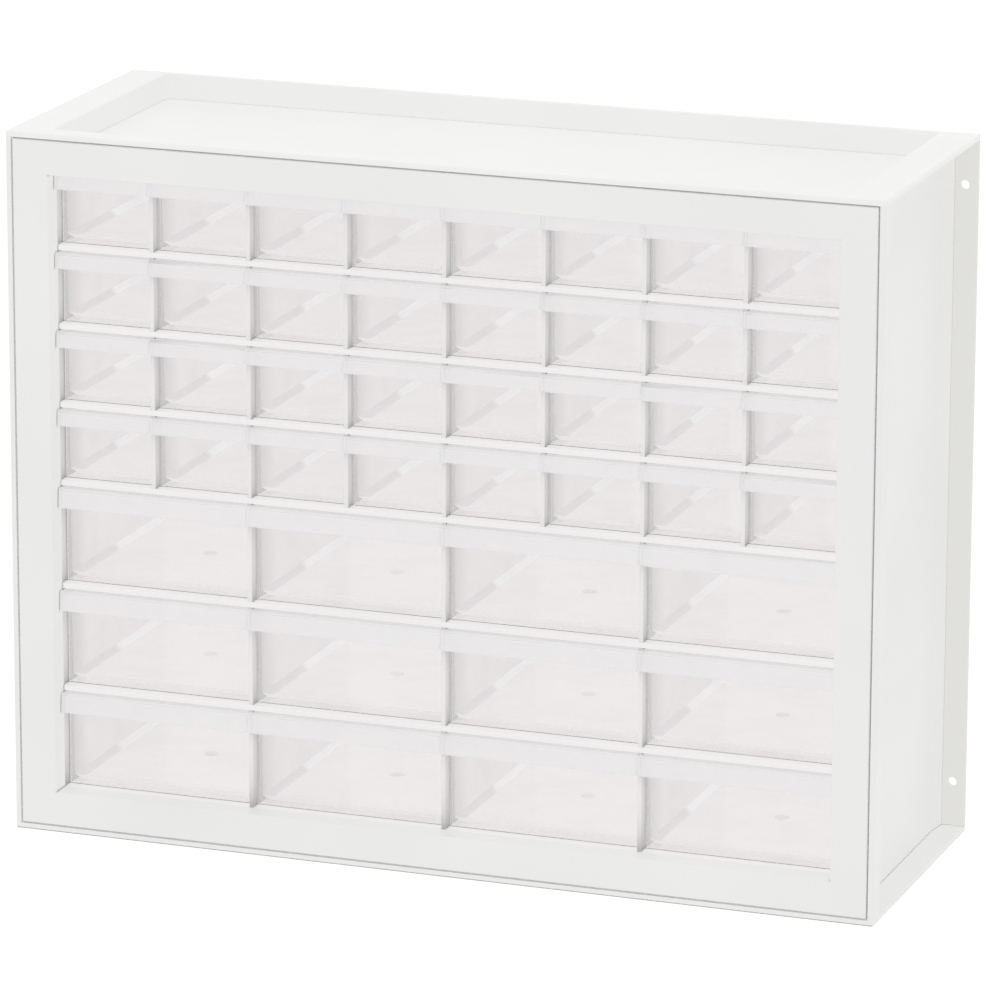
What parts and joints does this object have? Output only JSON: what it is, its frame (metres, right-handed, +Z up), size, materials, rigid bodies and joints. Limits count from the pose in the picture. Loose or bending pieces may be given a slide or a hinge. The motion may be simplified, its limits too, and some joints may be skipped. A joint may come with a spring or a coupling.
{
  "type": "drawer cabinet",
  "caption": "White moulded table-top cabinet with a grid of clear sliding drawers, small above and wide below, for beads, thread and craft parts.",
  "frame": {"origin": "on the surface that the cabinet stands on, in the middle of its width and of its depth", "axes": "+X to the right seen from the front, +Y to the back, +Z up; drawers open towards -Y"},
  "size_m": [0.495, 0.178, 0.394],
  "materials": {
    "white_plastic": "moulded white plastic with a fine satin grain",
    "clear_plastic": "clear moulded plastic, slightly hazy"
  },
  "bodies": {
    "cabinet": {"top_panel": "white_plastic", "bottom_panel": "white_plastic", "left_side": "white_plastic", "right_side": "white_plastic", "front_bezel": "white_plastic", "back_panel": "white_plastic", "large_dividers": "white_plastic", "small_dividers": "white_plastic", "shelf_1": "white_plastic", "shelf_2": "white_plastic", "shelf_3": "white_plastic", "shelf_4": "white_plastic", "shelf_5": "white_plastic", "shelf_6": "white_plastic", "shelf_7": "white_plastic", "shelf_8": "white_plastic"},
    "small_drawer_1_1": {"small_drawer_1_1": "clear_plastic"},
    "small_drawer_1_2": {"small_drawer_1_2": "clear_plastic"},
    "small_drawer_1_3": {"small_drawer_1_3": "clear_plastic"},
    "small_drawer_1_4": {"small_drawer_1_4": "clear_plastic"},
    "small_drawer_1_5": {"small_drawer_1_5": "clear_plastic"},
    "small_drawer_1_6": {"small_drawer_1_6": "clear_plastic"},
    "small_drawer_1_7": {"small_drawer_1_7": "clear_plastic"},
    "small_drawer_1_8": {"small_drawer_1_8": "clear_plastic"},
    "small_drawer_2_1": {"small_drawer_2_1": "clear_plastic"},
    "small_drawer_2_2": {"small_drawer_2_2": "clear_plastic"},
    "small_drawer_2_3": {"small_drawer_2_3": "clear_plastic"},
    "small_drawer_2_4": {"small_drawer_2_4": "clear_plastic"},
    "small_drawer_2_5": {"small_drawer_2_5": "clear_plastic"},
    "small_drawer_2_6": {"small_drawer_2_6": "clear_plastic"},
    "small_drawer_2_7": {"small_drawer_2_7": "clear_plastic"},
    "small_drawer_2_8": {"small_drawer_2_8": "clear_plastic"},
    "small_drawer_3_1": {"small_drawer_3_1": "clear_plastic"},
    "small_drawer_3_2": {"small_drawer_3_2": "clear_plastic"},
    "small_drawer_3_3": {"small_drawer_3_3": "clear_plastic"},
    "small_drawer_3_4": {"small_drawer_3_4": "clear_plastic"},
    "small_drawer_3_5": {"small_drawer_3_5": "clear_plastic"},
    "small_drawer_3_6": {"small_drawer_3_6": "clear_plastic"},
    "small_drawer_3_7": {"small_drawer_3_7": "clear_plastic"},
    "small_drawer_3_8": {"small_drawer_3_8": "clear_plastic"},
    "small_drawer_4_1": {"small_drawer_4_1": "clear_plastic"},
    "small_drawer_4_2": {"small_drawer_4_2": "clear_plastic"},
    "small_drawer_4_3": {"small_drawer_4_3": "clear_plastic"},
    "small_drawer_4_4": {"small_drawer_4_4": "clear_plastic"},
    "small_drawer_4_5": {"small_drawer_4_5": "clear_plastic"},
    "small_drawer_4_6": {"small_drawer_4_6": "clear_plastic"},
    "small_drawer_4_7": {"small_drawer_4_7": "clear_plastic"},
    "small_drawer_4_8": {"small_drawer_4_8": "clear_plastic"},
    "large_drawer_5_1": {"large_drawer_5_1": "clear_plastic"},
    "large_drawer_5_2": {"large_drawer_5_2": "clear_plastic"},
    "large_drawer_5_3": {"large_drawer_5_3": "clear_plastic"},
    "large_drawer_5_4": {"large_drawer_5_4": "clear_plastic"},
    "large_drawer_6_1": {"large_drawer_6_1": "clear_plastic"},
    "large_drawer_6_2": {"large_drawer_6_2": "clear_plastic"},
    "large_drawer_6_3": {"large_drawer_6_3": "clear_plastic"},
    "large_drawer_6_4": {"large_drawer_6_4": "clear_plastic"},
    "large_drawer_7_1": {"large_drawer_7_1": "clear_plastic"},
    "large_drawer_7_2": {"large_drawer_7_2": "clear_plastic"},
    "large_drawer_7_3": {"large_drawer_7_3": "clear_plastic"},
    "large_drawer_7_4": {"large_drawer_7_4": "clear_plastic"}
  },
  "joints": [
    {"name": "small_drawer_1_1_slide", "type": "slide", "parent": "cabinet", "child": "small_drawer_1_1", "axis": [0, -1, 0], "range_m": [0, 0.12]},
    {"name": "small_drawer_1_2_slide", "type": "slide", "parent": "cabinet", "child": "small_drawer_1_2", "axis": [0, -1, 0], "range_m": [0, 0.12]},
    {"name": "small_drawer_1_3_slide", "type": "slide", "parent": "cabinet", "child": "small_drawer_1_3", "axis": [0, -1, 0], "range_m": [0, 0.12]},
    {"name": "small_drawer_1_4_slide", "type": "slide", "parent": "cabinet", "child": "small_drawer_1_4", "axis": [0, -1, 0], "range_m": [0, 0.12]},
    {"name": "small_drawer_1_5_slide", "type": "slide", "parent": "cabinet", "child": "small_drawer_1_5", "axis": [0, -1, 0], "range_m": [0, 0.12]},
    {"name": "small_drawer_1_6_slide", "type": "slide", "parent": "cabinet", "child": "small_drawer_1_6", "axis": [0, -1, 0], "range_m": [0, 0.12]},
    {"name": "small_drawer_1_7_slide", "type": "slide", "parent": "cabinet", "child": "small_drawer_1_7", "axis": [0, -1, 0], "range_m": [0, 0.12]},
    {"name": "small_drawer_1_8_slide", "type": "slide", "parent": "cabinet", "child": "small_drawer_1_8", "axis": [0, -1, 0], "range_m": [0, 0.12]},
    {"name": "small_drawer_2_1_slide", "type": "slide", "parent": "cabinet", "child": "small_drawer_2_1", "axis": [0, -1, 0], "range_m": [0, 0.12]},
    {"name": "small_drawer_2_2_slide", "type": "slide", "parent": "cabinet", "child": "small_drawer_2_2", "axis": [0, -1, 0], "range_m": [0, 0.12]},
    {"name": "small_drawer_2_3_slide", "type": "slide", "parent": "cabinet", "child": "small_drawer_2_3", "axis": [0, -1, 0], "range_m": [0, 0.12]},
    {"name": "small_drawer_2_4_slide", "type": "slide", "parent": "cabinet", "child": "small_drawer_2_4", "axis": [0, -1, 0], "range_m": [0, 0.12]},
    {"name": "small_drawer_2_5_slide", "type": "slide", "parent": "cabinet", "child": "small_drawer_2_5", "axis": [0, -1, 0], "range_m": [0, 0.12]},
    {"name": "small_drawer_2_6_slide", "type": "slide", "parent": "cabinet", "child": "small_drawer_2_6", "axis": [0, -1, 0], "range_m": [0, 0.12]},
    {"name": "small_drawer_2_7_slide", "type": "slide", "parent": "cabinet", "child": "small_drawer_2_7", "axis": [0, -1, 0], "range_m": [0, 0.12]},
    {"name": "small_drawer_2_8_slide", "type": "slide", "parent": "cabinet", "child": "small_drawer_2_8", "axis": [0, -1, 0], "range_m": [0, 0.12]},
    {"name": "small_drawer_3_1_slide", "type": "slide", "parent": "cabinet", "child": "small_drawer_3_1", "axis": [0, -1, 0], "range_m": [0, 0.12]},
    {"name": "small_drawer_3_2_slide", "type": "slide", "parent": "cabinet", "child": "small_drawer_3_2", "axis": [0, -1, 0], "range_m": [0, 0.12]},
    {"name": "small_drawer_3_3_slide", "type": "slide", "parent": "cabinet", "child": "small_drawer_3_3", "axis": [0, -1, 0], "range_m": [0, 0.12]},
    {"name": "small_drawer_3_4_slide", "type": "slide", "parent": "cabinet", "child": "small_drawer_3_4", "axis": [0, -1, 0], "range_m": [0, 0.12]},
    {"name": "small_drawer_3_5_slide", "type": "slide", "parent": "cabinet", "child": "small_drawer_3_5", "axis": [0, -1, 0], "range_m": [0, 0.12]},
    {"name": "small_drawer_3_6_slide", "type": "slide", "parent": "cabinet", "child": "small_drawer_3_6", "axis": [0, -1, 0], "range_m": [0, 0.12]},
    {"name": "small_drawer_3_7_slide", "type": "slide", "parent": "cabinet", "child": "small_drawer_3_7", "axis": [0, -1, 0], "range_m": [0, 0.12]},
    {"name": "small_drawer_3_8_slide", "type": "slide", "parent": "cabinet", "child": "small_drawer_3_8", "axis": [0, -1, 0], "range_m": [0, 0.12]},
    {"name": "small_drawer_4_1_slide", "type": "slide", "parent": "cabinet", "child": "small_drawer_4_1", "axis": [0, -1, 0], "range_m": [0, 0.12]},
    {"name": "small_drawer_4_2_slide", "type": "slide", "parent": "cabinet", "child": "small_drawer_4_2", "axis": [0, -1, 0], "range_m": [0, 0.12]},
    {"name": "small_drawer_4_3_slide", "type": "slide", "parent": "cabinet", "child": "small_drawer_4_3", "axis": [0, -1, 0], "range_m": [0, 0.12]},
    {"name": "small_drawer_4_4_slide", "type": "slide", "parent": "cabinet", "child": "small_drawer_4_4", "axis": [0, -1, 0], "range_m": [0, 0.12]},
    {"name": "small_drawer_4_5_slide", "type": "slide", "parent": "cabinet", "child": "small_drawer_4_5", "axis": [0, -1, 0], "range_m": [0, 0.12]},
    {"name": "small_drawer_4_6_slide", "type": "slide", "parent": "cabinet", "child": "small_drawer_4_6", "axis": [0, -1, 0], "range_m": [0, 0.12]},
    {"name": "small_drawer_4_7_slide", "type": "slide", "parent": "cabinet", "child": "small_drawer_4_7", "axis": [0, -1, 0], "range_m": [0, 0.12]},
    {"name": "small_drawer_4_8_slide", "type": "slide", "parent": "cabinet", "child": "small_drawer_4_8", "axis": [0, -1, 0], "range_m": [0, 0.12]},
    {"name": "large_drawer_5_1_slide", "type": "slide", "parent": "cabinet", "child": "large_drawer_5_1", "axis": [0, -1, 0], "range_m": [0, 0.12]},
    {"name": "large_drawer_5_2_slide", "type": "slide", "parent": "cabinet", "child": "large_drawer_5_2", "axis": [0, -1, 0], "range_m": [0, 0.12]},
    {"name": "large_drawer_5_3_slide", "type": "slide", "parent": "cabinet", "child": "large_drawer_5_3", "axis": [0, -1, 0], "range_m": [0, 0.12]},
    {"name": "large_drawer_5_4_slide", "type": "slide", "parent": "cabinet", "child": "large_drawer_5_4", "axis": [0, -1, 0], "range_m": [0, 0.12]},
    {"name": "large_drawer_6_1_slide", "type": "slide", "parent": "cabinet", "child": "large_drawer_6_1", "axis": [0, -1, 0], "range_m": [0, 0.12]},
    {"name": "large_drawer_6_2_slide", "type": "slide", "parent": "cabinet", "child": "large_drawer_6_2", "axis": [0, -1, 0], "range_m": [0, 0.12]},
    {"name": "large_drawer_6_3_slide", "type": "slide", "parent": "cabinet", "child": "large_drawer_6_3", "axis": [0, -1, 0], "range_m": [0, 0.12]},
    {"name": "large_drawer_6_4_slide", "type": "slide", "parent": "cabinet", "child": "large_drawer_6_4", "axis": [0, -1, 0], "range_m": [0, 0.12]},
    {"name": "large_drawer_7_1_slide", "type": "slide", "parent": "cabinet", "child": "large_drawer_7_1", "axis": [0, -1, 0], "range_m": [0, 0.12]},
    {"name": "large_drawer_7_2_slide", "type": "slide", "parent": "cabinet", "child": "large_drawer_7_2", "axis": [0, -1, 0], "range_m": [0, 0.12]},
    {"name": "large_drawer_7_3_slide", "type": "slide", "parent": "cabinet", "child": "large_drawer_7_3", "axis": [0, -1, 0], "range_m": [0, 0.12]},
    {"name": "large_drawer_7_4_slide", "type": "slide", "parent": "cabinet", "child": "large_drawer_7_4", "axis": [0, -1, 0], "range_m": [0, 0.12]}
  ]
}
